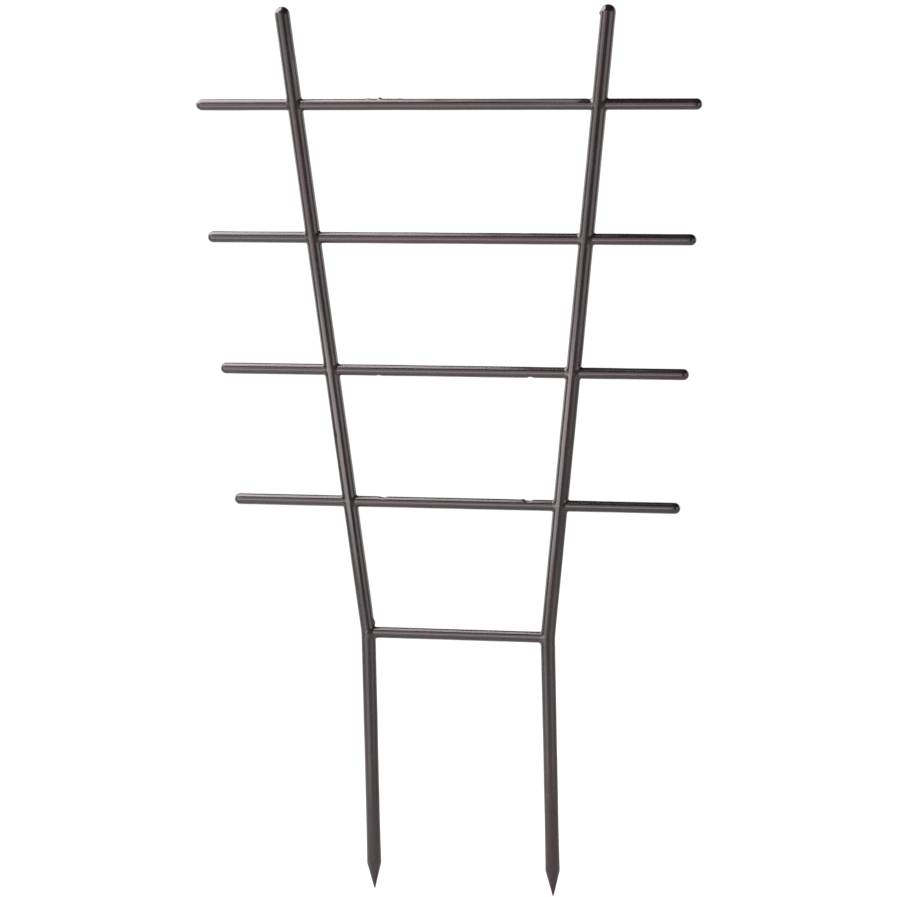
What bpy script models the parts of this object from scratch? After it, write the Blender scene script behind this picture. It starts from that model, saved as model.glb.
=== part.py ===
# Ladder trellis: two bent stiles with pointed feet, and five rungs that are held in them.
#
# Metres, +Z up. X runs across the ladder, along the rungs, and Y through its thickness.
# The origin lies midway between the two points of the feet.
#
# Each of the upper four rungs has a waist where it passes through a stile, and the stile closes round
# that waist, so the rung can't slide. The lowest rung has a spigot at each end, held between the stiles.

import math

import bpy

# Heights along the ladder
LOWEST_RUNG_HEIGHT = 0.1346     # from the points to the lowest rung's axis, where the stiles bend
RUNG_SPACING = 0.0681           # from one rung's axis to the next
HEAD_HEIGHT = 0.0501            # from the top rung's axis to the top of the stiles

# Stiles
LEG_SPACING = 0.0968            # between the axes of the upright legs
STILE_LEAN = math.radians(6.87)
BEND_LENGTH = 0.004             # length of axis that is curved at the bend
STILE_TOP_RADIUS = 0.00385
STILE_BEND_RADIUS = 0.00365
ANKLE_RADIUS = 0.00355
ANKLE_RISE = 0.030              # from the shoulder of the foot up to the thinnest place of the leg
SHOULDER_RADIUS = 0.00373
POINT_LENGTH = 0.0134
POINT_CROWN = 0.0012            # length of the rounded edge between the shoulder and the point's slope
TIP_RADIUS = 0.0003

# Rungs
RUNG_RADIUS = 0.00285
ARM_REACHES = (0.0535, 0.0575, 0.0606, 0.0631)  # from the stile's axis to the arm's end, top rung first
WAIST_RADIUS = 0.0021
SPIGOT_OVERRUN = 0.0012         # how far the lowest rung's spigot goes past the stile's axis

# Joints
JOINT_GAP = 0.0003              # hairline between a rung and the stile round it
COLLAR_FILLET = 0.0010          # radius in the corner where a rung leaves a stile

# Smoothness
SIDES = 24                      # round a stile or a rung
DOME_STEPS = 5                  # rings from the edge of a rounded end to its pole
FILLET_STEPS = 3
MERGE_DISTANCE = 0.00001
SHARP_ANGLE = math.radians(40)
HALF_SIDE = math.pi / SIDES     # turns a round shape so that a flat, not an edge, faces up

RUNG_COUNT = len(ARM_REACHES) + 1
RIGHT, LEFT = 1, -1


def rung_height(number):
    # Rungs are counted from the top, starting at 1.
    return LOWEST_RUNG_HEIGHT + (RUNG_COUNT - number) * RUNG_SPACING


def overall_height():
    return rung_height(1) + HEAD_HEIGHT


# The stile's axis

def bend_radius():
    return BEND_LENGTH / STILE_LEAN


def axis_point(length):
    # Place and tilt of the stile's axis, at this length along it above the middle of the bend.
    start = -BEND_LENGTH / 2
    radius = bend_radius()
    tilt = STILE_LEAN * min(max((length - start) / BEND_LENGTH, 0.0), 1.0)
    below = min(length, start)
    above = max(length + start, 0.0)
    across = radius * (1 - math.cos(tilt)) + above * math.sin(tilt)
    up = below + radius * math.sin(tilt) + above * math.cos(tilt)
    return across, up, tilt


def length_at_rise(rise):
    # The inverse of axis_point above the bend: length along the axis at this rise above the bend.
    curved_top = axis_point(BEND_LENGTH / 2)[1]
    return BEND_LENGTH / 2 + (rise - curved_top) / math.cos(STILE_LEAN)


def stile_offset(number):
    # Distance from the ladder's middle to the stile's axis, at the height of this rung.
    if number == RUNG_COUNT:
        return LEG_SPACING / 2 + axis_point(0.0)[0]
    return LEG_SPACING / 2 + axis_point(length_at_rise(rung_height(number) - LOWEST_RUNG_HEIGHT))[0]


def head_length():
    # Length of the axis from the bend to the middle of the rounded top.
    return length_at_rise(overall_height() - STILE_TOP_RADIUS - LOWEST_RUNG_HEIGHT)


def stile_radius(number):
    # The stile thins evenly from its head down to the bend.
    share = (RUNG_COUNT - number) * RUNG_SPACING / (head_length() * math.cos(STILE_LEAN))
    return STILE_BEND_RADIUS + (STILE_TOP_RADIUS - STILE_BEND_RADIUS) * share


def collar_half_width(number):
    # From the stile's axis to the face of its collar.
    return stile_radius(number) / math.cos(STILE_LEAN) + COLLAR_FILLET


# Profiles, as (radius, height) pairs that run down the outer side

def dome(radius, middle):
    # A rounded end, from its pole down to its widest place.
    turns = [math.pi / 2 * step / DOME_STEPS for step in range(DOME_STEPS + 1)]
    return [(radius * math.sin(turn), middle + radius * math.cos(turn)) for turn in turns]


def stile_profile():
    # Heights here count along the axis, from the middle of the bend.
    foot = -LOWEST_RUNG_HEIGHT
    shoulder = foot + POINT_LENGTH
    slope = (SHOULDER_RADIUS - TIP_RADIUS) / (POINT_LENGTH - TIP_RADIUS)
    half_crown = POINT_CROWN / 2
    points = dome(STILE_TOP_RADIUS, head_length())
    points.append((STILE_BEND_RADIUS, BEND_LENGTH / 2))
    points.append((STILE_BEND_RADIUS, 0.0))
    points.append((STILE_BEND_RADIUS, -BEND_LENGTH / 2))
    points.append((ANKLE_RADIUS, shoulder + ANKLE_RISE))
    points.append((SHOULDER_RADIUS, shoulder + half_crown))
    points.append((SHOULDER_RADIUS - slope * half_crown / 4, shoulder))
    points.append((SHOULDER_RADIUS - slope * half_crown, shoulder - half_crown))
    points.append((TIP_RADIUS, foot + TIP_RADIUS))
    points.append((0.0, foot))
    return points


def rung_profile(number):
    # Half a rung from its end to its middle, then the same half mirrored. Height is distance along X.
    stile = stile_offset(number)
    inner_shoulder = stile - collar_half_width(number) - JOINT_GAP
    if number == RUNG_COUNT:
        spigot_end = stile + SPIGOT_OVERRUN
        half = [(0.0, spigot_end), (WAIST_RADIUS, spigot_end)]
    else:
        end = stile + ARM_REACHES[number - 1]
        outer_shoulder = stile + collar_half_width(number) + JOINT_GAP
        half = dome(RUNG_RADIUS, end - RUNG_RADIUS)
        half += [(RUNG_RADIUS, outer_shoulder), (WAIST_RADIUS, outer_shoulder)]
    half += [(WAIST_RADIUS, inner_shoulder), (RUNG_RADIUS, inner_shoulder)]
    return half + [(radius, -height) for radius, height in reversed(half)]


def collar_profile(number, outer_side):
    # A spool with hollow flanks. Its face is as wide as the rung, which makes the two flush.
    half_width = collar_half_width(number)
    quarter = []
    for step in range(FILLET_STEPS + 1):
        turn = math.pi / 2 * step / FILLET_STEPS
        quarter.append((RUNG_RADIUS + COLLAR_FILLET * (1 - math.cos(turn)),
                        half_width - COLLAR_FILLET * math.sin(turn)))
    inner = [(0.0, half_width)] + quarter
    if outer_side:
        return inner + [(radius, -height) for radius, height in reversed(inner)]
    return inner + [(quarter[-1][0], 0.0), (0.0, 0.0)]


# Making of the pieces

def clear_scene():
    for existing in list(bpy.data.objects):
        bpy.data.objects.remove(existing, do_unlink=True)


def new_collection(name):
    collection = bpy.data.collections.new(name)
    bpy.context.scene.collection.children.link(collection)
    return collection


def brown_plastic(name, roughness):
    material = bpy.data.materials.new(name)
    material.use_nodes = True
    shader = material.node_tree.nodes["Principled BSDF"]
    shader.inputs["Base Color"].default_value = (0.062, 0.044, 0.043, 1.0)
    shader.inputs["Roughness"].default_value = roughness
    shader.inputs["Metallic"].default_value = 0.0
    return material


def turned_mesh(name, profile, start=HALF_SIDE):
    # Turns the profile about Z with a Screw modifier, and returns the finished mesh.
    outline = bpy.data.meshes.new(name + "_outline")
    edges = [(index, index + 1) for index in range(len(profile) - 1)]
    points = [(radius * math.cos(start), radius * math.sin(start), height) for radius, height in profile]
    outline.from_pydata(points, edges, [])
    lathe = bpy.data.objects.new(name + "_lathe", outline)
    bpy.context.scene.collection.objects.link(lathe)
    screw = lathe.modifiers.new("turn", "SCREW")
    screw.axis = "Z"
    screw.steps = SIDES
    screw.render_steps = SIDES
    screw.use_merge_vertices = True
    screw.merge_threshold = MERGE_DISTANCE
    graph = bpy.context.evaluated_depsgraph_get()
    mesh = bpy.data.meshes.new_from_object(lathe.evaluated_get(graph))
    mesh.name = name
    bpy.data.objects.remove(lathe, do_unlink=True)
    bpy.data.meshes.remove(outline)
    mesh.shade_smooth()
    mesh.set_sharp_from_angle(angle=SHARP_ANGLE)
    return mesh


def place(name, mesh, collection, material=None):
    piece = bpy.data.objects.new(name, mesh)
    collection.objects.link(piece)
    if material:
        mesh.materials.append(material)
    return piece


def hide_tool(tool):
    tool.hide_render = True
    tool.display_type = "WIRE"


def turn_towards_x(piece, side=RIGHT):
    piece.rotation_euler = (0.0, side * math.pi / 2, 0.0)


def bend_mesh(mesh, side):
    # Lays a straight turned stile along its bent axis, leaning outwards on its own side.
    for vertex in mesh.vertices:
        x, _, length = vertex.co
        across, up, tilt = axis_point(length)
        vertex.co.x = side * (LEG_SPACING / 2 + across) + x * math.cos(tilt)
        vertex.co.z = LOWEST_RUNG_HEIGHT + up - side * x * math.sin(tilt)
    mesh.update()


def keep_collar_inside_stile(mesh):
    # The flare of a collar grows only up and down, so that it never stands out of the stile's front.
    for vertex in mesh.vertices:
        radius = math.hypot(vertex.co.x, vertex.co.y)
        if radius > RUNG_RADIUS:
            vertex.co.y *= RUNG_RADIUS / radius
    mesh.update()


def make_collar(side_name, side, number, tools):
    through = number < RUNG_COUNT
    mesh = turned_mesh(f"{side_name}_collar_{number}", collar_profile(number, through))
    keep_collar_inside_stile(mesh)
    collar = place(mesh.name, mesh, tools)
    turn_towards_x(collar, -side)
    collar.location = (side * stile_offset(number), 0.0, rung_height(number))
    hide_tool(collar)
    return collar


def make_drill(side_name, side, number, tools):
    # A bore for a rung's waist, or a blind one for the lowest rung's spigot.
    stile = stile_offset(number)
    reach = collar_half_width(number) + COLLAR_FILLET
    start = stile - reach
    end = stile + reach
    if number == RUNG_COUNT:
        end = stile + SPIGOT_OVERRUN + JOINT_GAP
    radius = WAIST_RADIUS + JOINT_GAP
    half = (end - start) / 2
    profile = [(0.0, half), (radius, half), (radius, -half), (0.0, -half)]
    drill = place(f"{side_name}_drill_{number}", turned_mesh("drill", profile, start=0.0), tools)
    turn_towards_x(drill)
    drill.location = (side * (start + end) / 2, 0.0, rung_height(number))
    hide_tool(drill)
    return drill


def add_boolean(piece, tool, operation):
    boolean = piece.modifiers.new(tool.name, "BOOLEAN")
    boolean.operation = operation
    boolean.object = tool
    boolean.solver = "EXACT"


def make_stile(name, side, parts, tools, material):
    mesh = turned_mesh(name, stile_profile(), start=0.0)
    bend_mesh(mesh, side)
    stile = place(name, mesh, parts, material)
    numbers = range(1, RUNG_COUNT + 1)
    for number in numbers:
        add_boolean(stile, make_collar(name, side, number, tools), "UNION")
    for number in numbers:
        add_boolean(stile, make_drill(name, side, number, tools), "DIFFERENCE")
    return stile


def make_rung(number, parts, material):
    name = f"rung_{number}"
    rung = place(name, turned_mesh(name, rung_profile(number)), parts, material)
    turn_towards_x(rung)
    rung.location = (0.0, 0.0, rung_height(number))
    return rung


def build():
    clear_scene()
    parts = new_collection("ladder_trellis")
    tools = new_collection("cutters")
    stile_brown = brown_plastic("stile_brown", 0.30)
    rung_brown = brown_plastic("rung_brown", 0.26)
    frame = bpy.data.objects.new("trellis_frame", None)
    parts.objects.link(frame)
    pieces = [make_stile("left_stile", LEFT, parts, tools, stile_brown),
              make_stile("right_stile", RIGHT, parts, tools, stile_brown)]
    for number in range(1, RUNG_COUNT + 1):
        pieces.append(make_rung(number, parts, rung_brown))
    for piece in pieces:
        piece.parent = frame


build()
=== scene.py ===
import math

import bmesh
import bpy
import numpy as np
from mathutils import Matrix, Vector


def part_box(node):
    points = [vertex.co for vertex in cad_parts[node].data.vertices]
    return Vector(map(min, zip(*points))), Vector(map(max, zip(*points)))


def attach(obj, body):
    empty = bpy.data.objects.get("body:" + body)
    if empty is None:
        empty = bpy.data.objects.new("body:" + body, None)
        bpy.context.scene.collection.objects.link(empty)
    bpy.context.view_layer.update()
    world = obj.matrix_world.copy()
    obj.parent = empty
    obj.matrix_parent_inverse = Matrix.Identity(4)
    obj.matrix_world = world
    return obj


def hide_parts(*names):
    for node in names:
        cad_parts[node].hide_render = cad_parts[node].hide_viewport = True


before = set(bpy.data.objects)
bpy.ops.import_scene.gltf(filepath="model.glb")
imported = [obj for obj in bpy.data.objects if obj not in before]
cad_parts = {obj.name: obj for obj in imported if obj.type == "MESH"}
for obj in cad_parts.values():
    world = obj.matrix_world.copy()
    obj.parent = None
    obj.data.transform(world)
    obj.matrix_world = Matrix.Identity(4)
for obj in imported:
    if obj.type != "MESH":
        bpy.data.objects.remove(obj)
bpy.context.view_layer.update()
scene = bpy.context.scene

# Ladder trellis of dark brown moulded plastic: two leaning stiles and five rungs.
# Metres, +Z up, X along the rungs. The ladder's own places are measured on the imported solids.

rungNames = sorted(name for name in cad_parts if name.startswith("rung_"))
sides = {"left_stile": -1, "right_stile": 1}


def nodePoints(name):
    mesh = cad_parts[name].data
    points = np.zeros(len(mesh.vertices) * 3)
    mesh.vertices.foreach_get("co", points)
    return points.reshape(-1, 3)


def measureLadder():
    points = nodePoints("right_stile")
    tip = points[points[:, 2].argmin()]
    crown = points[points[:, 2].argmax()]
    rungs = []
    for name in rungNames:
        low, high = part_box(name)
        rungs.append({
            "name": name,
            "height": (low.z + high.z) / 2,
            "radius": (high.z - low.z) / 2,
            "end": high.x,
            "passes": name != rungNames[-1],   # the lowest rung ends in the stiles
        })
    bendHeight = rungs[-1]["height"]
    lean = math.atan2(crown[0] - tip[0], crown[2] - bendHeight)
    return {
        "height": crown[2],
        "legOffset": tip[0],
        "bendHeight": bendHeight,
        "lean": lean,
        "headRadius": points[:, 1].max(),
        "rungs": rungs,
    }


ladder = measureLadder()
print("ladder read from the frame:", round(ladder["height"], 4), "m tall,",
      len(ladder["rungs"]), "rungs, lean", round(math.degrees(ladder["lean"]), 2), "degrees")


# Camera

cameraSet = {
    "azimuth": 18.18,          # degrees to the right of the ladder's front
    "elevation": 7.33,
    "roll": -1.30,
    "distance": 2.743,         # from the middle of the ladder
    "stepRight": -0.0026,      # the camera stands this far off the line to the middle
    "stepUp": 0.0025,
    "lens": 215.3,
    "sensor": 36.0,
    "clip": (0.05, 60.0),
}


def makeCamera(values):
    data = bpy.data.cameras.new("photo_camera")
    data.lens = values["lens"]
    data.sensor_width = values["sensor"]
    data.clip_start, data.clip_end = values["clip"]
    camera = bpy.data.objects.new("photo_camera", data)
    scene.collection.objects.link(camera)
    toView = (Matrix.Rotation(math.radians(values["roll"]), 3, "Y")
              @ Matrix.Rotation(math.radians(values["elevation"]), 3, "X")
              @ Matrix.Rotation(math.radians(-values["azimuth"]), 3, "Z"))
    right, forward, up = (Vector(row) for row in toView)
    middle = Vector((0.0, 0.0, ladder["height"] / 2))
    place = (middle - forward * values["distance"]
             + right * values["stepRight"] + up * values["stepUp"])
    turn = Matrix((right, up, -forward)).transposed()
    camera.matrix_world = Matrix.Translation(place) @ turn.to_4x4()
    scene.camera = camera


makeCamera(cameraSet)
print("camera placed")


# Shared mesh helpers

partingLine = {
    "height": 0.00007,         # the fine ridge where the two halves of the mould met
    "width": 0.00011,
    "fade": 0.004,             # length over which it dies out towards the end of a rod
    "bareCrown": 0.0006,       # the very top of a stile has none
    "stileSwell": (0.75, 0.25, 95),    # its strength along a stile: mean, swing, and radians a metre
    "rungSwell": (0.8, 0.2, 120),      # the same along a rung
}

ripple = {
    "waves": ((0.061, 0.000016), (0.037, 0.000013), (0.0213, 0.000008), (0.0117, 0.000004)),
    "outOfRound": 0.000012,    # how far the section strays from a circle
    "rodPhase": 2.399,         # radians from one rod to the next, and from one wave to the next
    "wavePhase": 1.713,
}


def rippleAt(along, seed):
    # The slow unevenness of a thick moulded rod that has shrunk while it cooled.
    total = np.zeros_like(along)
    for number, (length, depth) in enumerate(ripple["waves"]):
        phase = seed * ripple["rodPhase"] + number * ripple["wavePhase"]
        total += depth * np.sin(2 * math.pi * along / length + phase)
    return total


def partingRidge(acrossHalf, strength=1.0):
    return partingLine["height"] * strength * np.exp(-(acrossHalf / partingLine["width"]) ** 2)


def ridgeStrength(along, swell, phase):
    mean, swing, pace = swell
    return mean + swing * np.sin(along * pace + phase)


def columnAngles(count, fine):
    # Even steps round the rod, with extra columns on both sides of the two parting lines.
    even = [2 * math.pi * step / count for step in range(count)]
    close = [middle + sign * math.radians(offset)
             for middle in (0.0, math.pi) for offset in fine for sign in (-1, 1)]
    return np.array(sorted(angle % (2 * math.pi) for angle in even + close))


def gridMesh(name, rows, firstPole, lastPole):
    # A closed skin: a pole, rings of equal length, and another pole.
    ringSize = len(rows[0])
    points = [firstPole] + [tuple(point) for ring in rows for point in ring] + [lastPole]
    faces = []
    for column in range(ringSize):
        following = (column + 1) % ringSize
        faces.append((0, 1 + following, 1 + column))
        for row in range(len(rows) - 1):
            low = 1 + row * ringSize
            high = low + ringSize
            faces.append((low + column, low + following, high + following, high + column))
        top = 1 + (len(rows) - 1) * ringSize
        faces.append((top + column, top + following, len(points) - 1))
    mesh = bpy.data.meshes.new(name)
    mesh.from_pydata(points, [], faces)
    mesh.shade_smooth()
    mesh.validate()
    return mesh


def addPiece(name, mesh, material, node):
    piece = bpy.data.objects.new(name, mesh)
    scene.collection.objects.link(piece)
    mesh.materials.append(material)
    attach(piece, "root")
    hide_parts(node)


# Stiles

stileShape = {
    "bendRadius": 0.00365,     # half the rod's thickness at the bend
    "bendLength": 0.004,
    "ankleRadius": 0.00355,
    "ankleRise": 0.030,        # from the shoulder of the foot up to the thinnest place of the leg
    "shoulderRadius": 0.00373,
    "pointLength": 0.0134,
    "pointCrown": 0.0012,
    "crownCurve": ((-1.0, 1.0), (-0.3, 0.42), (0.3, 0.10), (1.2, 0.0)),   # height and drop, in half crowns
    "ankleCurve": (0.35, 0.4),         # share of the ankle's rise, and of the shoulder's swell that is left
    "tipRadius": 0.0003,
    "tipNeck": 0.98,           # the point leaves its rounded tip at this share of the tip's radius
    "lowestStop": 0.001,       # the lowest rung's corners close this far before the stile's axis
    "fillet": (0.0010, 0.0010),        # radius in the corners below and above a rung that passes through
    "lowestFillet": (0.0015, 0.0008),  # the same at the lowest rung, which the mould braces underneath
    "filletSink": 0.00001,     # the edge of the fillet dives this far under the rung's skin
    "filletStep": 15,          # degrees round the fillet from ring to ring
    "outerRings": ((1.35, 0.85), (1.8, 0.55), (2.3, 0.22)),   # distance in fillets, hold on the curve
    "ringDip": 0.00005,        # the innermost ring lies this far under the rung's skin
    "ringGrip": 0.975,         # the rings follow the rung's curve out to this share of its radius
    "crossingReach": 3.0,      # in fillets, from the rung's skin to the even rows
    "columns": 72,
    "fineColumns": (0.9, 1.8, 2.9),
    "rowStep": 0.003,
    "fineStep": 0.00025,       # near a mark
    "tipRows": 3,
    "footRows": 9,
    "crownRows": 8,
    "domeRows": 15,
    "markReach": 2.5,          # fine rows run this many lengths of a mark to both sides
    "reach": 0.006,            # longer than any ray from the axis to the skin
    "halvings": 30,
}

# Small marks of moulding and handling on the stiles: height on the ladder, angle round the rod
# (0 is away from the ladder's middle, 90 the back, 180 the inner side), length, width and depth.
stileMarks = {
    "left_stile": (
        {"height": 0.1398, "angle": 180, "length": 0.0016, "width": 0.0008, "depth": 0.00070},
        {"height": 0.1346, "angle": 262, "length": 0.0006, "width": 0.0006, "depth": 0.00022},
        {"height": 0.2373, "angle": 300, "length": 0.0022, "width": 0.0011, "depth": -0.00012},
        {"height": 0.2392, "angle": 228, "length": 0.0030, "width": 0.0009, "depth": 0.00006},
    ),
    "right_stile": (
        {"height": 0.4528, "angle": 180, "length": 0.0010, "width": 0.0009, "depth": 0.00080},
        {"height": 0.2326, "angle": 300, "length": 0.0026, "width": 0.0011, "depth": -0.00012},
        {"height": 0.2352, "angle": 228, "length": 0.0034, "width": 0.0009, "depth": 0.00006},
        {"height": 0.0520, "angle": 180, "length": 0.0009, "width": 0.0005, "depth": 0.00018},
    ),
}


def cornerRadii(rung):
    return stileShape["fillet" if rung["passes"] else "lowestFillet"]


class StileForm:
    # Where a stile's skin lies, worked out on the right-hand stile; the left one is its mirror image.

    def __init__(self, side, marks):
        self.side = side
        self.marks = marks
        lean = ladder["lean"]
        self.axis = np.array((math.sin(lean), math.cos(lean)))
        self.bendRound = stileShape["bendLength"] / lean
        self.bendStart = ladder["bendHeight"] - stileShape["bendLength"] / 2
        self.bendRise = self.bendRound * math.sin(lean)
        shoulder = stileShape["pointLength"]
        wide = stileShape["shoulderRadius"]
        ankle = stileShape["ankleRadius"]
        half = stileShape["pointCrown"] / 2
        tip = stileShape["tipRadius"]
        slope = (wide - tip) / (shoulder - tip)
        rise, swell = stileShape["ankleCurve"]
        self.domeHeight = ladder["height"] - ladder["headRadius"] * math.cos(lean)
        profile = [(tip, tip * stileShape["tipNeck"])]
        for up, drop in stileShape["crownCurve"]:
            profile.append((shoulder + half * up, wide - slope * half * drop))
        profile += [
            (shoulder + stileShape["ankleRise"] * rise, ankle + (wide - ankle) * swell),
            (shoulder + stileShape["ankleRise"], ankle),
            (self.bendStart, stileShape["bendRadius"]),
            (self.bendStart + self.bendRise, stileShape["bendRadius"]),
            (self.domeHeight, ladder["headRadius"]),
        ]
        self.profile = np.array(profile)
        self.centre = np.array((self.axisAt(self.domeHeight), 0.0, self.domeHeight))
        self.tipCentre = np.array((ladder["legOffset"], 0.0, tip))

    def axisAt(self, height):
        up = np.asarray(height) - self.bendStart
        curved = np.clip(up, 0.0, self.bendRise)
        across = self.bendRound - np.sqrt(self.bendRound ** 2 - curved ** 2)
        beyond = np.maximum(up - self.bendRise, 0.0)
        return ladder["legOffset"] + across + beyond * math.tan(ladder["lean"])

    def radiusAt(self, height):
        return np.interp(height, self.profile[:, 0], self.profile[:, 1])

    def markRelief(self, height, angle):
        total = np.zeros_like(height)
        for mark in self.marks:
            turn = np.angle(np.exp(1j * (angle - math.radians(mark["angle"]))))
            arc = turn * stileShape["bendRadius"]
            total += mark["depth"] * np.exp(-((height - mark["height"]) / mark["length"]) ** 2
                                            - (arc / mark["width"]) ** 2)
        return total

    def stileGap(self, points):
        # Distance outside the stile's own skin, before any rung joins it.
        across = points[:, 0] - self.axisAt(points[:, 2])
        tilt = np.where(points[:, 2] > self.bendStart, ladder["lean"], 0.0)
        tilt = tilt * np.clip((points[:, 2] - self.bendStart) / self.bendRise, 0.0, 1.0)
        square = np.hypot(across * np.cos(tilt), points[:, 1])
        fromDome = points - self.centre
        beyond = fromDome[:, 0] * self.axis[0] + fromDome[:, 2] * self.axis[1]
        distance = np.where(beyond > 0, np.linalg.norm(fromDome, axis=1), square)
        atTip = points[:, 2] < self.tipCentre[2]
        distance = np.where(atTip, np.linalg.norm(points - self.tipCentre, axis=1), distance)
        angle = np.arctan2(points[:, 1], across)
        height = points[:, 2]
        room = ladder["height"] - partingLine["bareCrown"] - height
        length = partingLine["fade"]
        fade = np.clip(room / length, 0.0, 1.0) * np.clip(height / length, 0.0, 1.0)
        swell = ridgeStrength(height, partingLine["stileSwell"], self.side)
        relief = partingRidge(points[:, 1], fade * swell)
        relief = relief + rippleAt(height, self.side) * fade
        relief = relief + ripple["outOfRound"] * np.cos(2 * angle) * fade
        relief = relief + self.markRelief(height, angle)
        return distance - np.minimum(self.radiusAt(height), ladder["headRadius"]) - relief

    def rungGap(self, points, rung):
        up = points[:, 2] - rung["height"]
        past = np.zeros(len(points))
        if not rung["passes"]:
            past = np.maximum(points[:, 0] - self.axisAt(rung["height"]) + stileShape["lowestStop"], 0.0)
        away = np.sqrt(points[:, 1] ** 2 + up ** 2 + past ** 2)
        return away - rung["radius"] - partingRidge(points[:, 1]) + stileShape["filletSink"]

    def solid(self, points, rung=None):
        # Below zero inside. A rung joins the stile with a rounded corner, as a rolling ball leaves it.
        gap = self.stileGap(points)
        if rung is None:
            return gap
        below, above = cornerRadii(rung)
        share = np.clip((points[:, 2] - rung["height"]) / rung["radius"] / 2 + 0.5, 0.0, 1.0)
        fillet = below + (above - below) * share * share * (3 - 2 * share)
        other = self.rungGap(points, rung)
        corner = fillet - np.hypot(np.maximum(fillet - gap, 0.0), np.maximum(fillet - other, 0.0))
        joined = np.where((gap < fillet) & (other < fillet), corner, np.minimum(gap, other))
        return np.maximum(joined, gap - fillet)

    def cast(self, origins, directions, rung=None):
        # Halves the way along each ray until it meets the skin.
        near = np.zeros(len(origins))
        far = np.full(len(origins), stileShape["reach"])
        for _ in range(stileShape["halvings"]):
            middle = (near + far) / 2
            inside = self.solid(origins + directions * middle[:, None], rung) < 0
            near = np.where(inside, middle, near)
            far = np.where(inside, far, middle)
        return origins + directions * near[:, None]


def crossingRings(fillet):
    # How far each ring of a crossing lies outside the rung's skin and outside the stile's skin, and how
    # much it still follows the rung's curve.
    rings = [(-stileShape["ringDip"], fillet, 1.0)]
    for turn in range(0, 91, stileShape["filletStep"]):
        angle = math.radians(turn)
        rings.append((fillet * (1 - math.cos(angle)), fillet * (1 - math.sin(angle)), 1.0))
    return rings + [(fillet * away, 0.0, hold) for away, hold in stileShape["outerRings"]]


def ringOffsets(form, rung, angles, fillet):
    sine = np.abs(np.sin(angles))
    localRadius = form.radiusAt(rung["height"])
    offsets = []
    for away, outside, hold in crossingRings(fillet):
        side = np.minimum((localRadius + outside) * sine, rung["radius"] * stileShape["ringGrip"])
        offsets.append(np.sqrt((rung["radius"] + away) ** 2 - (side * hold) ** 2))
    return offsets


def plainHeights(low, high, marks):
    # Even heights between two crossings, closer together near a mark.
    count = max(2, round((high - low) / stileShape["rowStep"]))
    heights = list(np.linspace(low, high, count + 1))
    fine = stileShape["fineStep"]
    for mark in marks:
        reach = stileShape["markReach"] * mark["length"]
        start = max(mark["height"] - reach, low)
        end = min(mark["height"] + reach, high)
        if start >= end:
            continue
        heights = [height for height in heights if height <= start or height >= end]
        heights += list(np.arange(start + fine, end - fine / 2, fine))
    return sorted(heights)


def stileRows(form, angles):
    # Each row is a height for every column, the rise of its rays, and the rung it may join.
    rows = []
    shoulder = stileShape["pointLength"]
    crown = stileShape["pointCrown"]
    tip = stileShape["tipRadius"]
    for step in range(1, stileShape["tipRows"] + 1):
        rows.append((tip, -math.pi / 2 * (1 - step / (stileShape["tipRows"] + 1)), None))
    rows += [(height, 0.0, None) for height in np.linspace(tip, shoulder - crown, stileShape["footRows"])]
    for step in range(1, stileShape["crownRows"]):
        rows.append((shoulder - crown + 2 * crown * step / stileShape["crownRows"], 0.0, None))
    clear = []
    start = shoulder + crown
    for rung in sorted(ladder["rungs"], key=lambda rung: rung["height"]):
        below, above = (fillet * stileShape["crossingReach"] for fillet in cornerRadii(rung))
        clear.append((start, rung["height"] - rung["radius"] - below, rung))
        start = rung["height"] + rung["radius"] + above
    clear.append((start, form.domeHeight, None))
    for low, high, rung in clear:
        rows += [(height, 0.0, None) for height in plainHeights(low, high, form.marks)]
        if rung is None:
            continue
        below, above = (ringOffsets(form, rung, angles, fillet) for fillet in cornerRadii(rung))
        rows += [(rung["height"] - offset, 0.0, rung) for offset in reversed(below)]
        rows.append((rung["height"], 0.0, rung))
        rows += [(rung["height"] + offset, 0.0, rung) for offset in above]
    for step in range(1, stileShape["domeRows"]):
        rows.append((form.domeHeight, math.pi / 2 * step / stileShape["domeRows"], None))
    return rows


def makeStile(node, material):
    side = sides[node]
    form = StileForm(side, stileMarks[node])
    angles = columnAngles(stileShape["columns"], stileShape["fineColumns"])
    rings = []
    for height, rise, rung in stileRows(form, angles):
        heights = np.broadcast_to(height, angles.shape).astype(float)
        origins = np.column_stack((form.axisAt(heights), np.zeros(len(angles)), heights))
        directions = np.column_stack((np.cos(angles) * math.cos(rise), np.sin(angles) * math.cos(rise),
                                      np.full(len(angles), math.sin(rise))))
        rings.append(form.cast(origins, directions, rung))
    up = np.array(((0.0, 0.0, 1.0),))
    top = form.cast(form.centre[None, :], up)[0]
    tip = (ladder["legOffset"], 0.0, 0.0)
    mesh = gridMesh(node + "_rod", rings, tip, tuple(top))
    if side < 0:
        mesh.transform(Matrix.Scale(-1, 4, (1, 0, 0)))
        mesh.flip_normals()
    addPiece(node + "_rod", mesh, material, node)


# Rungs

rungShape = {
    "columns": 60,
    "fineColumns": (1.3, 2.6, 4.2),
    "rowStep": 0.0025,
    "fineStep": 0.0003,        # near a mark
    "domeRows": 12,
    "markReach": 2.5,          # fine rows run this many lengths of a mark to both sides
    "longestMark": 0.003,      # a longer mark changes so slowly that it needs fine rows only in its middle
    "lowestOverrun": 0.0005,   # how far the lowest rung runs past the stile's axis, out of sight inside it
    "nib": 0.0007,             # the gate's stub on the left end of the top rung
    "firstSeed": 3.0,          # the rungs' unevenness is numbered from here; the stiles have -1 and 1
}

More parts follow.
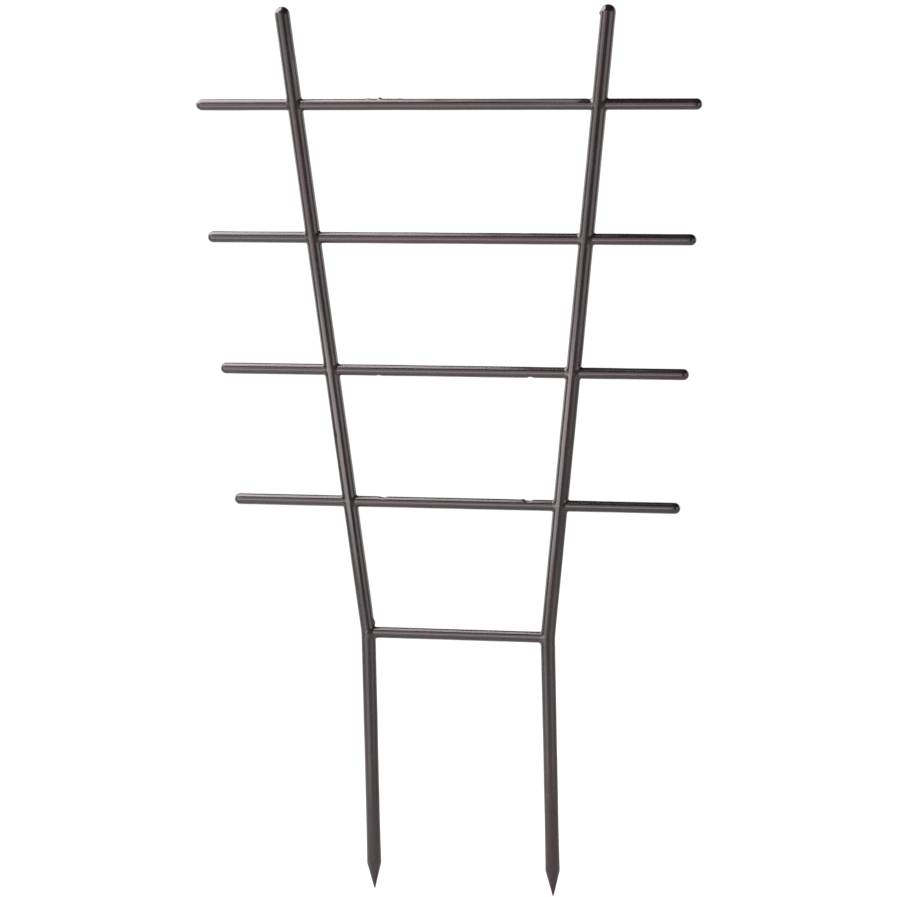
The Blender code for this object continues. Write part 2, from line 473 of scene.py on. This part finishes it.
# Place along X, angle round the rung (90 is its top, 270 its underside), length, width and depth.
rungMarks = {
    "rung_1": (
        {"along": -0.0353, "angle": 90, "length": 0.0009, "width": 0.0006, "depth": 0.00075},
        {"along": -0.0414, "angle": 90, "length": 0.0012, "width": 0.0007, "depth": 0.00024},
        {"along": -0.0243, "angle": 90, "length": 0.0016, "width": 0.0006, "depth": 0.00016},
        {"along": -0.0330, "angle": 90, "length": 0.0085, "width": 0.0004, "depth": 0.00014},
        {"along": 0.0765, "angle": 90, "length": 0.0014, "width": 0.0012, "depth": -0.00025},
    ),
    "rung_2": (
        {"along": 0.0405, "angle": 80, "length": 0.0020, "width": 0.0010, "depth": -0.00008},
    ),
    "rung_3": (
        {"along": -0.0393, "angle": 270, "length": 0.0010, "width": 0.0012, "depth": -0.00040},
        {"along": 0.0421, "angle": 270, "length": 0.0012, "width": 0.0014, "depth": -0.00100},
    ),
    "rung_4": (
        {"along": -0.0384, "angle": 90, "length": 0.0013, "width": 0.0014, "depth": -0.00100},
        {"along": 0.0397, "angle": 90, "length": 0.0016, "width": 0.0014, "depth": -0.00090},
        {"along": 0.0368, "angle": 90, "length": 0.0008, "width": 0.0008, "depth": 0.00025},
    ),
    "rung_5": (),
}


def rungStations(rung, end):
    # Places along the rung with the share of the full radius there, from the left end to the right.
    radius = rung["radius"]
    stations = []
    if rung["passes"]:
        for step in range(1, rungShape["domeRows"]):
            turn = math.pi / 2 * step / rungShape["domeRows"]
            stations.append((-end + radius * (1 - math.cos(turn)), math.sin(turn)))
        end -= radius
    places = list(np.linspace(-end, end, 2 * round(end / rungShape["rowStep"]) + 1))
    for mark in rungMarks[rung["name"]]:
        reach = rungShape["markReach"] * min(mark["length"], rungShape["longestMark"])
        fine = np.arange(mark["along"] - reach, mark["along"] + reach, rungShape["fineStep"])
        places = [place for place in places if abs(place - mark["along"]) > reach] + list(fine)
    stations += [(place, 1.0) for place in sorted(places)]
    if rung["passes"]:
        for place, share in reversed(stations[:rungShape["domeRows"] - 1]):
            stations.append((-place, share))
    return stations


def rungRelief(rung, along, angles):
    arcRadius = rung["radius"]
    half = np.cos(angles) * arcRadius
    end = rung["end"] - abs(along)
    fade = min(max(end / partingLine["fade"], 0.0), 1.0) if rung["passes"] else 1.0
    number = rungNames.index(rung["name"]) + rungShape["firstSeed"]
    relief = partingRidge(half, fade * ridgeStrength(along, partingLine["rungSwell"], number))
    relief = relief + rippleAt(np.array((along,)), number)[0] * fade
    relief = relief + ripple["outOfRound"] * np.cos(2 * angles + number) * fade
    for mark in rungMarks[rung["name"]]:
        turn = np.angle(np.exp(1j * (angles - math.radians(mark["angle"]))))
        relief = relief + mark["depth"] * np.exp(-((along - mark["along"]) / mark["length"]) ** 2
                                                 - (turn * arcRadius / mark["width"]) ** 2)
    return relief


def makeRung(rung, material):
    end = rung["end"]
    if not rung["passes"]:
        end = ladder["legOffset"] + rungShape["lowestOverrun"]
    angles = columnAngles(rungShape["columns"], rungShape["fineColumns"]) + math.pi / 2
    rings = []
    nib = rungShape["nib"] if rung["name"] == rungNames[0] else 0.0
    for along, share in rungStations(rung, end):
        reach = share * (rung["radius"] + rungRelief(rung, along, angles))
        place = along - nib * (1 - share) ** 2 if along < 0 else along
        rings.append(np.column_stack((np.full(len(angles), place), reach * np.cos(angles),
                                      rung["height"] + reach * np.sin(angles))))
    leftPole = (-end - nib, 0.0, rung["height"])
    mesh = gridMesh(rung["name"] + "_rod", rings, leftPole, (end, 0.0, rung["height"]))
    addPiece(rung["name"] + "_rod", mesh, material, rung["name"])


# Materials

def newGroup(name, inputs, outputs):
    group = bpy.data.node_groups.new(name, "ShaderNodeTree")
    for socketName, socketType, value in inputs:
        socket = group.interface.new_socket(name=socketName, in_out="INPUT", socket_type=socketType)
        if value is not None:
            socket.default_value = value
    for socketName, socketType in outputs:
        group.interface.new_socket(name=socketName, in_out="OUTPUT", socket_type=socketType)
    entry = group.nodes.new("NodeGroupInput")
    leave = group.nodes.new("NodeGroupOutput")
    return group, entry, leave


def addNode(tree, kind, **settings):
    node = tree.nodes.new(kind)
    for name, value in settings.items():
        setattr(node, name, value)
    return node


def mathNode(tree, operation, first, second=None, clamp=False):
    node = addNode(tree, "ShaderNodeMath", operation=operation, use_clamp=clamp)
    for slot, value in enumerate((first, second)):
        if value is None:
            continue
        if isinstance(value, (int, float)):
            node.inputs[slot].default_value = value
        else:
            tree.links.new(value, node.inputs[slot])
    return node.outputs[0]


def noiseNode(tree, vector, scale, detail=2.0, roughness=0.5):
    node = addNode(tree, "ShaderNodeTexNoise")
    tree.links.new(vector, node.inputs["Vector"])
    node.inputs["Scale"].default_value = scale
    node.inputs["Detail"].default_value = detail
    node.inputs["Roughness"].default_value = roughness
    return node.outputs["Fac"]


def rangeNode(tree, value, fromLow, fromHigh, toLow, toHigh):
    node = addNode(tree, "ShaderNodeMapRange", interpolation_type="SMOOTHSTEP")
    tree.links.new(value, node.inputs["Value"])
    ends = {"From Min": fromLow, "From Max": fromHigh, "To Min": toLow, "To Max": toHigh}
    for name, number in ends.items():
        node.inputs[name].default_value = number
    return node.outputs["Result"]


flowMarks = {
    "streakScale": 260.0,      # waves a metre, before the stretch along the rod
    "streakRange": (0.35, 0.68),
    "cloudScale": 70.0,
    "cloudRange": (0.38, 0.64),
}


def buildFlowMarks(values):
    # Long faint streaks that the melt leaves along a rod.
    group, entry, leave = newGroup(
        "flow marks", (("Vector", "NodeSocketVector", None),),
        (("Streak", "NodeSocketFloat"), ("Cloud", "NodeSocketFloat")))
    streak = noiseNode(group, entry.outputs["Vector"], values["streakScale"], detail=3.0, roughness=0.55)
    cloud = noiseNode(group, entry.outputs["Vector"], values["cloudScale"])
    group.links.new(rangeNode(group, streak, *values["streakRange"], 0.0, 1.0), leave.inputs["Streak"])
    group.links.new(rangeNode(group, cloud, *values["cloudRange"], 0.0, 1.0), leave.inputs["Cloud"])
    return group


mouldGrain = {
    "fineScale": 5200.0,
    "coarseScale": 900.0,
    "coarseShare": 0.5,
}


def buildMouldGrain(values):
    # The fine texture of the mould's steel, as heights for a Bump node.
    group, entry, leave = newGroup(
        "mould grain",
        (("Vector", "NodeSocketVector", None), ("Coarse", "NodeSocketFloat", values["coarseShare"])),
        (("Height", "NodeSocketFloat"),))
    fine = noiseNode(group, entry.outputs["Vector"], values["fineScale"], roughness=0.6)
    coarse = noiseNode(group, entry.outputs["Vector"], values["coarseScale"])
    weighted = mathNode(group, "MULTIPLY", coarse, entry.outputs["Coarse"])
    group.links.new(mathNode(group, "ADD", fine, weighted), leave.inputs["Height"])
    return group


rubs = {
    "hairs": ((0.5, 3400.0), (-0.7, 4200.0), (1.3, 3800.0)),   # slant in radians, and scale
    "hairTilt": 0.4,           # share of the slant that also turns a hair out of the front plane
    "hairStretch": 0.07,
    "hairRange": (0.68, 0.78),
    "patchScale": 55.0,
    "patchRange": (0.46, 0.66),
}


def buildScuffs(values):
    # Short pale rubs from packing: slanted hairlines that gather in patches.
    group, entry, leave = newGroup(
        "scuffs", (("Vector", "NodeSocketVector", None), ("Amount", "NodeSocketFloat", 0.5)),
        (("Mask", "NodeSocketFloat"),))
    lines = []
    for turn, scale in values["hairs"]:
        slant = addNode(group, "ShaderNodeMapping")
        slant.inputs["Rotation"].default_value = (turn * values["hairTilt"], turn, 0.0)
        slant.inputs["Scale"].default_value = (1.0, 1.0, values["hairStretch"])
        group.links.new(entry.outputs["Vector"], slant.inputs["Vector"])
        lines.append(noiseNode(group, slant.outputs["Vector"], scale, detail=1.0, roughness=0.4))
    crossed = mathNode(group, "MAXIMUM", mathNode(group, "MAXIMUM", lines[0], lines[1]), lines[2])
    patches = noiseNode(group, entry.outputs["Vector"], values["patchScale"])
    thin = rangeNode(group, crossed, *values["hairRange"], 0.0, 1.0)
    spread = rangeNode(group, patches, *values["patchRange"], 0.0, 1.0)
    both = mathNode(group, "MULTIPLY", thin, spread)
    group.links.new(mathNode(group, "MULTIPLY", both, entry.outputs["Amount"], clamp=True),
                    leave.inputs["Mask"])
    return group


seamBand = {
    "width": 0.0004,           # from the parting line to where it fades out
}


def buildSeamBand(values):
    # A mask for the narrow band beside the parting line, where the plastic is matter.
    group, entry, leave = newGroup(
        "seam band", (("Vector", "NodeSocketVector", None), ("Width", "NodeSocketFloat", values["width"])),
        (("Mask", "NodeSocketFloat"),))
    split = addNode(group, "ShaderNodeSeparateXYZ")
    group.links.new(entry.outputs["Vector"], split.inputs[0])
    away = mathNode(group, "ABSOLUTE", split.outputs["Y"])
    share = mathNode(group, "DIVIDE", away, entry.outputs["Width"])
    group.links.new(mathNode(group, "SUBTRACT", 1.0, share, clamp=True), leave.inputs["Mask"])
    return group


groups = {
    "flow": buildFlowMarks(flowMarks),
    "grain": buildMouldGrain(mouldGrain),
    "scuffs": buildScuffs(rubs),
    "seam": buildSeamBand(seamBand),
}

# One melt for the whole ladder; the rungs come out of the mould slightly glossier.
brownPlastic = {
    "dark": (0.0095, 0.0073, 0.0072, 1.0),
    "light": (0.0165, 0.0087, 0.0103, 1.0),
    "sheen": (1.0, 0.872, 0.886, 1.0),
    "scuff": (0.105, 0.086, 0.080, 1.0),
    "ior": 1.5,
    "scuffMatt": 0.25,         # roughness that a rub adds
    "seamMatt": 0.10,          # and that the band beside the parting line adds
    "grainDepth": 0.00002,
}

stilePlastic = {
    **brownPlastic,
    "stretch": (1.0, 1.0, 0.10),     # streaks run along Z
    "roughness": (0.15, 0.23),
    "scuffAmount": 0.55,
    "grain": 0.10,
}

rungPlastic = {
    **brownPlastic,
    "stretch": (0.10, 1.0, 1.0),     # streaks run along X
    "roughness": (0.14, 0.21),
    "scuffAmount": 0.5,
    "grain": 0.09,
}


def placeGroup(tree, group, **values):
    node = addNode(tree, "ShaderNodeGroup", node_tree=group)
    for name, value in values.items():
        if isinstance(value, bpy.types.NodeSocket):
            tree.links.new(value, node.inputs[name])
        else:
            node.inputs[name].default_value = value
    return node


def mixColour(tree, factor, first, second):
    node = addNode(tree, "ShaderNodeMix", data_type="RGBA")
    tree.links.new(factor, node.inputs["Factor"])
    for name, value in (("A", first), ("B", second)):
        socket = next(each for each in node.inputs if each.name == name and each.type == "RGBA")
        if isinstance(value, bpy.types.NodeSocket):
            tree.links.new(value, socket)
        else:
            socket.default_value = value
    return next(each for each in node.outputs if each.type == "RGBA")


def makePlastic(name, values):
    material = bpy.data.materials.new(name)
    material.use_nodes = True
    tree = material.node_tree
    shader = tree.nodes["Principled BSDF"]
    place = addNode(tree, "ShaderNodeTexCoord").outputs["Object"]
    along = addNode(tree, "ShaderNodeMapping")
    along.inputs["Scale"].default_value = values["stretch"]
    tree.links.new(place, along.inputs["Vector"])
    flow = placeGroup(tree, groups["flow"], Vector=along.outputs["Vector"])
    grain = placeGroup(tree, groups["grain"], Vector=place)
    scuffs = placeGroup(tree, groups["scuffs"], Vector=place, Amount=values["scuffAmount"])
    seam = placeGroup(tree, groups["seam"], Vector=place)
    body = mixColour(tree, flow.outputs["Cloud"], values["dark"], values["light"])
    rubbed = mixColour(tree, scuffs.outputs["Mask"], body, values["scuff"])
    tree.links.new(rubbed, shader.inputs["Base Color"])
    gloss = rangeNode(tree, flow.outputs["Streak"], 0.0, 1.0, *values["roughness"])
    scuffMatt = mathNode(tree, "MULTIPLY", scuffs.outputs["Mask"], values["scuffMatt"])
    seamMatt = mathNode(tree, "MULTIPLY", seam.outputs["Mask"], values["seamMatt"])
    matt = mathNode(tree, "ADD", mathNode(tree, "ADD", gloss, scuffMatt), seamMatt)
    tree.links.new(matt, shader.inputs["Roughness"])
    bump = addNode(tree, "ShaderNodeBump")
    bump.inputs["Strength"].default_value = values["grain"]
    bump.inputs["Distance"].default_value = values["grainDepth"]
    tree.links.new(grain.outputs["Height"], bump.inputs["Height"])
    tree.links.new(bump.outputs["Normal"], shader.inputs["Normal"])
    shader.inputs["IOR"].default_value = values["ior"]
    shader.inputs["Specular Tint"].default_value = values["sheen"]
    return material


stileMaterial = makePlastic("stile brown plastic", stilePlastic)
rungMaterial = makePlastic("rung brown plastic", rungPlastic)
print("materials made")

for node in sides:
    makeStile(node, stileMaterial)
print("stiles made")
for rung in ladder["rungs"]:
    makeRung(rung, rungMaterial)
print("rungs made")


# Stage

stageSet = {
    "floorRadius": 14.0,
    "floorSides": 96,
    "floorColour": (0.70, 0.70, 0.70, 1.0),
    "floorWhite": 1.15,        # the floor's own glow for the camera, so that it reads as white
    "floorShare": 0.8,         # of that glow; the rest is lit floor, which keeps the object's shadow
    "floorGlossLift": 0.11,    # added in reflections, so that the gloss shows a white floor too
    "skyLevel": 1.0,           # of the white world; the dark ceiling holds back its light from above
    "roomRadius": 1.8,         # dim walls round the camera's side, seen only in the gloss
    "roomSteps": 48,
    "ceilingHeight": 1.25,
    "roomTone": 0.32,
    "ceilingTone": 0.02,
    "roomReach": 103,          # degrees to each side of the camera; the backdrop behind stays white
}


def bearing(turn):
    # A direction seen from the ladder, in radians; 0 degrees points at the camera.
    return math.radians(cameraSet["azimuth"] - 90 + turn)


def viewRays(tree):
    # Masks for rays straight from the camera, and for rays that reach a place by gloss or glass.
    path = addNode(tree, "ShaderNodeLightPath")
    bounced = mathNode(tree, "MAXIMUM", path.outputs["Is Glossy Ray"], path.outputs["Is Transmission Ray"])
    return path.outputs["Is Camera Ray"], bounced


def makeFloor(values):
    bpy.ops.mesh.primitive_circle_add(vertices=values["floorSides"], radius=values["floorRadius"],
                                      fill_type="NGON")
    floor = bpy.context.object
    floor.name = "studio_floor"
    material = bpy.data.materials.new("studio floor")
    material.use_nodes = True
    tree = material.node_tree
    tree.nodes.clear()
    diffuse = addNode(tree, "ShaderNodeBsdfDiffuse")
    diffuse.inputs["Color"].default_value = values["floorColour"]
    direct, bounced = viewRays(tree)
    lift = addNode(tree, "ShaderNodeEmission")
    tree.links.new(mathNode(tree, "MULTIPLY", bounced, values["floorGlossLift"]), lift.inputs["Strength"])
    lit = addNode(tree, "ShaderNodeAddShader")
    tree.links.new(diffuse.outputs[0], lit.inputs[0])
    tree.links.new(lift.outputs[0], lit.inputs[1])
    white = addNode(tree, "ShaderNodeEmission")
    white.inputs["Strength"].default_value = values["floorWhite"]
    shown = addNode(tree, "ShaderNodeMixShader")
    tree.links.new(mathNode(tree, "MULTIPLY", direct, values["floorShare"]), shown.inputs["Fac"])
    tree.links.new(lit.outputs[0], shown.inputs[1])
    tree.links.new(white.outputs[0], shown.inputs[2])
    out = addNode(tree, "ShaderNodeOutputMaterial")
    tree.links.new(shown.outputs[0], out.inputs["Surface"])
    floor.data.materials.append(material)


def addDimCard(name, mesh, tone, hiddenFrom):
    data = bpy.data.meshes.new(name)
    mesh.to_mesh(data)
    mesh.free()
    card = bpy.data.objects.new(name, data)
    scene.collection.objects.link(card)
    material = bpy.data.materials.new(name.replace("_", " "))
    material.use_nodes = True
    tree = material.node_tree
    tree.nodes.clear()
    glow = addNode(tree, "ShaderNodeEmission")
    glow.inputs["Strength"].default_value = tone
    out = addNode(tree, "ShaderNodeOutputMaterial")
    tree.links.new(glow.outputs[0], out.inputs["Surface"])
    data.materials.append(material)
    for kind in hiddenFrom:
        setattr(card, "visible_" + kind, False)


def makeRoom(values):
    # Dim walls on the camera's side give the gloss its darker bands, and a near-black ceiling keeps the
    # tops of the rungs dark where the key light doesn't reach.
    radius = values["roomRadius"]
    height = values["ceilingHeight"]
    steps = values["roomSteps"]
    walls = bmesh.new()
    posts = []
    for step in range(steps + 1):
        turn = bearing(values["roomReach"] * (2 * step / steps - 1))
        foot = (math.cos(turn) * radius, math.sin(turn) * radius)
        posts.append((walls.verts.new((*foot, 0.0)), walls.verts.new((*foot, height))))
    for first, second in zip(posts, posts[1:]):
        walls.faces.new((first[0], second[0], second[1], first[1]))
    addDimCard("studio_walls", walls, values["roomTone"],
               ("camera", "diffuse", "shadow", "transmission", "volume_scatter"))
    ceiling = bmesh.new()
    bmesh.ops.create_circle(ceiling, cap_ends=True, segments=steps, radius=radius,
                            matrix=Matrix.Translation((0.0, 0.0, height)))
    addDimCard("studio_ceiling", ceiling, values["ceilingTone"], ("camera", "shadow", "volume_scatter"))


def makeWorld(values):
    world = bpy.data.worlds.new("studio room")
    scene.world = world
    world.use_nodes = True
    tree = world.node_tree
    background = tree.nodes["Background"]
    background.inputs["Color"].default_value = (1.0, 1.0, 1.0, 1.0)
    background.inputs["Strength"].default_value = values["skyLevel"]


# Softboxes and low cards: direction seen from the ladder in degrees from the camera's (left is minus),
# distance and height of the middle, width and height of the cloth, and its light level (1 is white).
lamps = {
    "left_softbox": {"turn": -46, "away": 0.69, "height": 0.37, "size": (0.66, 0.71), "level": 2.05},
    "left_core": {"turn": -48, "away": 0.46, "height": 0.18, "size": (0.55, 0.14), "level": 3.8},
    "far_left_softbox": {"turn": -67, "away": 0.87, "height": 0.47, "size": (0.57, 0.75), "level": 1.6},
    "right_softbox": {"turn": 49, "away": 1.06, "height": 0.30, "size": (0.77, 0.57), "level": 2.3},
    "far_right_softbox": {"turn": 81, "away": 1.11, "height": 0.37, "size": (0.63, 0.57), "level": 0.45},
    "key_softbox": {"turn": -107, "away": 0.36, "height": 0.73, "size": (0.54, 0.49), "level": 9.0},
    "key_core": {"turn": -96, "away": 0.42, "height": 0.88, "size": (0.20, 0.20), "level": 2.7},
    "top_strip": {"turn": 60, "away": 0.029, "height": 0.432, "size": (0.032, 0.075), "level": 2.6},
    "low_left_card": {"turn": -46, "away": 0.32, "height": 0.03, "size": (0.24, 0.10), "level": 1.6},
    "low_right_card": {"turn": 52, "away": 0.36, "height": 0.04, "size": (0.26, 0.10), "level": 0.9},
    "back_left_softbox": {"turn": -124, "away": 1.10, "height": 0.40, "size": (0.35, 0.70), "level": 3.0},
    "back_right_softbox": {"turn": 118, "away": 1.10, "height": 0.40, "size": (0.45, 0.70), "level": 1.8},
}
lampAim = Vector((0.0, 0.0, 0.28))


def makeLamp(name, values):
    width, height = values["size"]
    data = bpy.data.lights.new(name, "AREA")
    data.shape = "RECTANGLE"
    data.size, data.size_y = width, height
    data.energy = values["level"] * math.pi * width * height
    lamp = bpy.data.objects.new(name, data)
    scene.collection.objects.link(lamp)
    turn = bearing(values["turn"])
    place = Vector((math.cos(turn) * values["away"], math.sin(turn) * values["away"], values["height"]))
    lamp.visible_camera = False
    lamp.location = place
    lamp.rotation_euler = (lampAim - place).to_track_quat("-Z", "Y").to_euler()


scene.view_settings.view_transform = "Standard"
makeFloor(stageSet)
makeRoom(stageSet)
makeWorld(stageSet)
for name, values in lamps.items():
    makeLamp(name, values)
print("stage lit")
